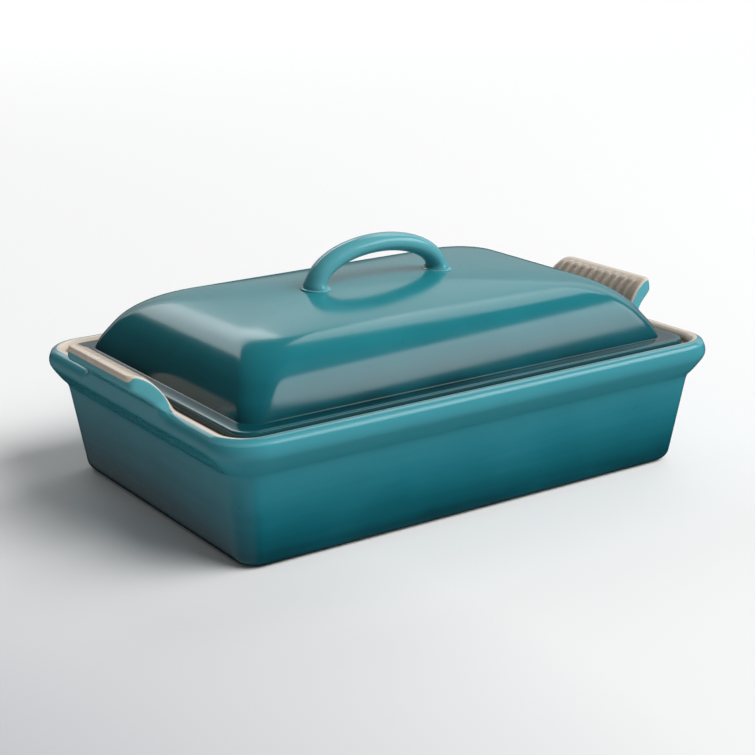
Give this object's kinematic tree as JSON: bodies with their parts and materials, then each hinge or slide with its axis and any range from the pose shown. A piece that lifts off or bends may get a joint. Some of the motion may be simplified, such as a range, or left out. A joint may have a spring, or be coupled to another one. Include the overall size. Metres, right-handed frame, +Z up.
{
  "type": "covered casserole dish",
  "caption": "Deep rectangular baking dish with a rolled lip and curled end grips, and a domed lid with a loop handle that lifts off its seat in the rim.",
  "frame": {"origin": "on the table, under the middle of the dish", "axes": "+X along the dish's length, from one grip to the other; +Y across its width; +Z up"},
  "size_m": [0.3744, 0.241, 0.146],
  "materials": {
    "teal_glaze": "gloss",
    "sand_glaze": "satin"
  },
  "bodies": {
    "dish": {"dish": "teal_glaze", "left_handle": "sand_glaze", "right_handle": "sand_glaze"},
    "lid": {"lid": "teal_glaze", "lid_handle": "teal_glaze"}
  },
  "joints": [
    {"name": "lid_lift", "type": "slide", "parent": "dish", "child": "lid", "axis": [0, 0, 1], "range_m": [0, 0.12]}
  ]
}
